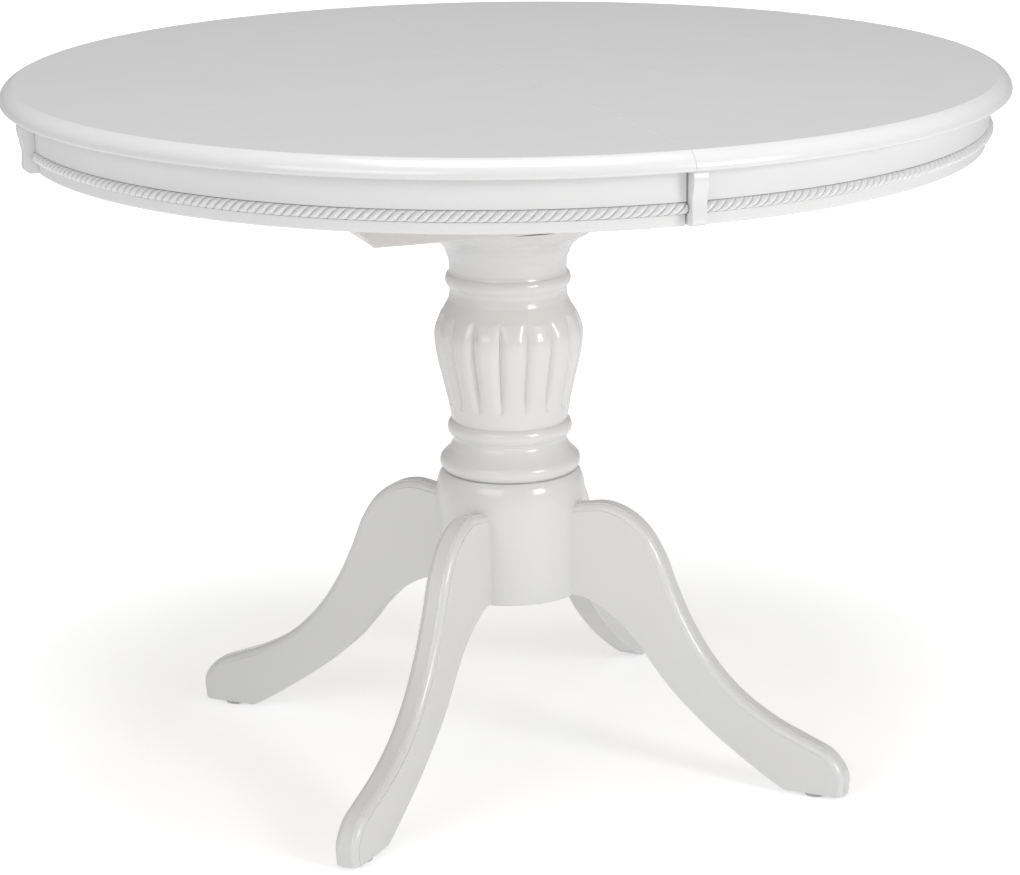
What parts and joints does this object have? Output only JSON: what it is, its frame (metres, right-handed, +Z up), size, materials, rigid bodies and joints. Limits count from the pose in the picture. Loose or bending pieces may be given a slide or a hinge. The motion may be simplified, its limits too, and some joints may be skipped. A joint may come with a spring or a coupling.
{
  "type": "extendable dining table",
  "caption": "Round pedestal dining table whose two half tops slide apart on rails for a folding leaf stored under the top.",
  "frame": {"origin": "on the floor at the centre of the column", "axes": "+Z up; X is the direction the halves slide apart in, Y runs along the seam of the top, -Y is the front"},
  "size_m": [1.06, 1.0596, 0.76],
  "materials": {
    "white_lacquer": "glossy white lacquer",
    "bare_wood": "bare planed wood",
    "steel": "zinc plated",
    "glide_plastic": "matt"
  },
  "bodies": {
    "base": {"rail_front": "bare_wood", "rail_back": "bare_wood", "cross_rail_left": "bare_wood", "cross_rail_right": "bare_wood", "bearer": "white_lacquer", "column": "white_lacquer", "hub": "white_lacquer", "tie_rod": "steel", "tie_nut_top": "steel", "tie_nut_bottom": "steel", "leg_front_right": "white_lacquer", "leg_back_right": "white_lacquer", "leg_back_left": "white_lacquer", "leg_front_left": "white_lacquer", "leg_bolt_front_right": "steel", "leg_bolt_back_right": "steel", "leg_bolt_back_left": "steel", "leg_bolt_front_left": "steel", "glide_front_right": "glide_plastic", "glide_back_right": "glide_plastic", "glide_back_left": "glide_plastic", "glide_front_left": "glide_plastic", "leaf_lower": "white_lacquer", "leaf_upper": "white_lacquer", "leaf_hinge_left_lower": "steel", "leaf_hinge_left_upper": "steel", "leaf_hinge_left_pin": "steel", "leaf_hinge_right_lower": "steel", "leaf_hinge_right_upper": "steel", "leaf_hinge_right_pin": "steel"},
    "left_half": {"top_left": "white_lacquer", "apron_front_left": "white_lacquer", "apron_back_left": "white_lacquer", "rope_front_left": "white_lacquer", "rope_back_left": "white_lacquer", "block_left": "white_lacquer", "block_back": "white_lacquer", "batten_left": "bare_wood", "runner_left_front": "bare_wood", "runner_left_back": "bare_wood", "dowel_front": "bare_wood", "dowel_middle": "bare_wood", "dowel_back": "bare_wood", "catch_screw_front": "steel", "catch_screw_back": "steel"},
    "right_half": {"top_right": "white_lacquer", "apron_front_right": "white_lacquer", "apron_back_right": "white_lacquer", "rope_front_right": "white_lacquer", "rope_back_right": "white_lacquer", "block_right": "white_lacquer", "block_front": "white_lacquer", "batten_right": "bare_wood", "runner_right_front": "bare_wood", "runner_right_back": "bare_wood", "keeper_front": "steel", "keeper_back": "steel"},
    "hook_front": {"catch_hook_front": "steel"},
    "hook_back": {"catch_hook_back": "steel"}
  },
  "joints": [
    {"name": "left_slide", "type": "slide", "parent": "base", "child": "left_half", "axis": [-1, 0, 0], "range_m": [0, 0.175]},
    {"name": "right_slide", "type": "slide", "parent": "base", "child": "right_half", "axis": [1, 0, 0], "range_m": [0, 0.175]},
    {"name": "hook_front_pivot", "type": "hinge", "parent": "left_half", "child": "hook_front", "pos_m": [-0.03, -0.41, 0.7344], "axis": [0, 0, 1], "range_deg": [0, 90]},
    {"name": "hook_back_pivot", "type": "hinge", "parent": "left_half", "child": "hook_back", "pos_m": [-0.03, 0.41, 0.7344], "axis": [0, 0, -1], "range_deg": [0, 90]}
  ]
}
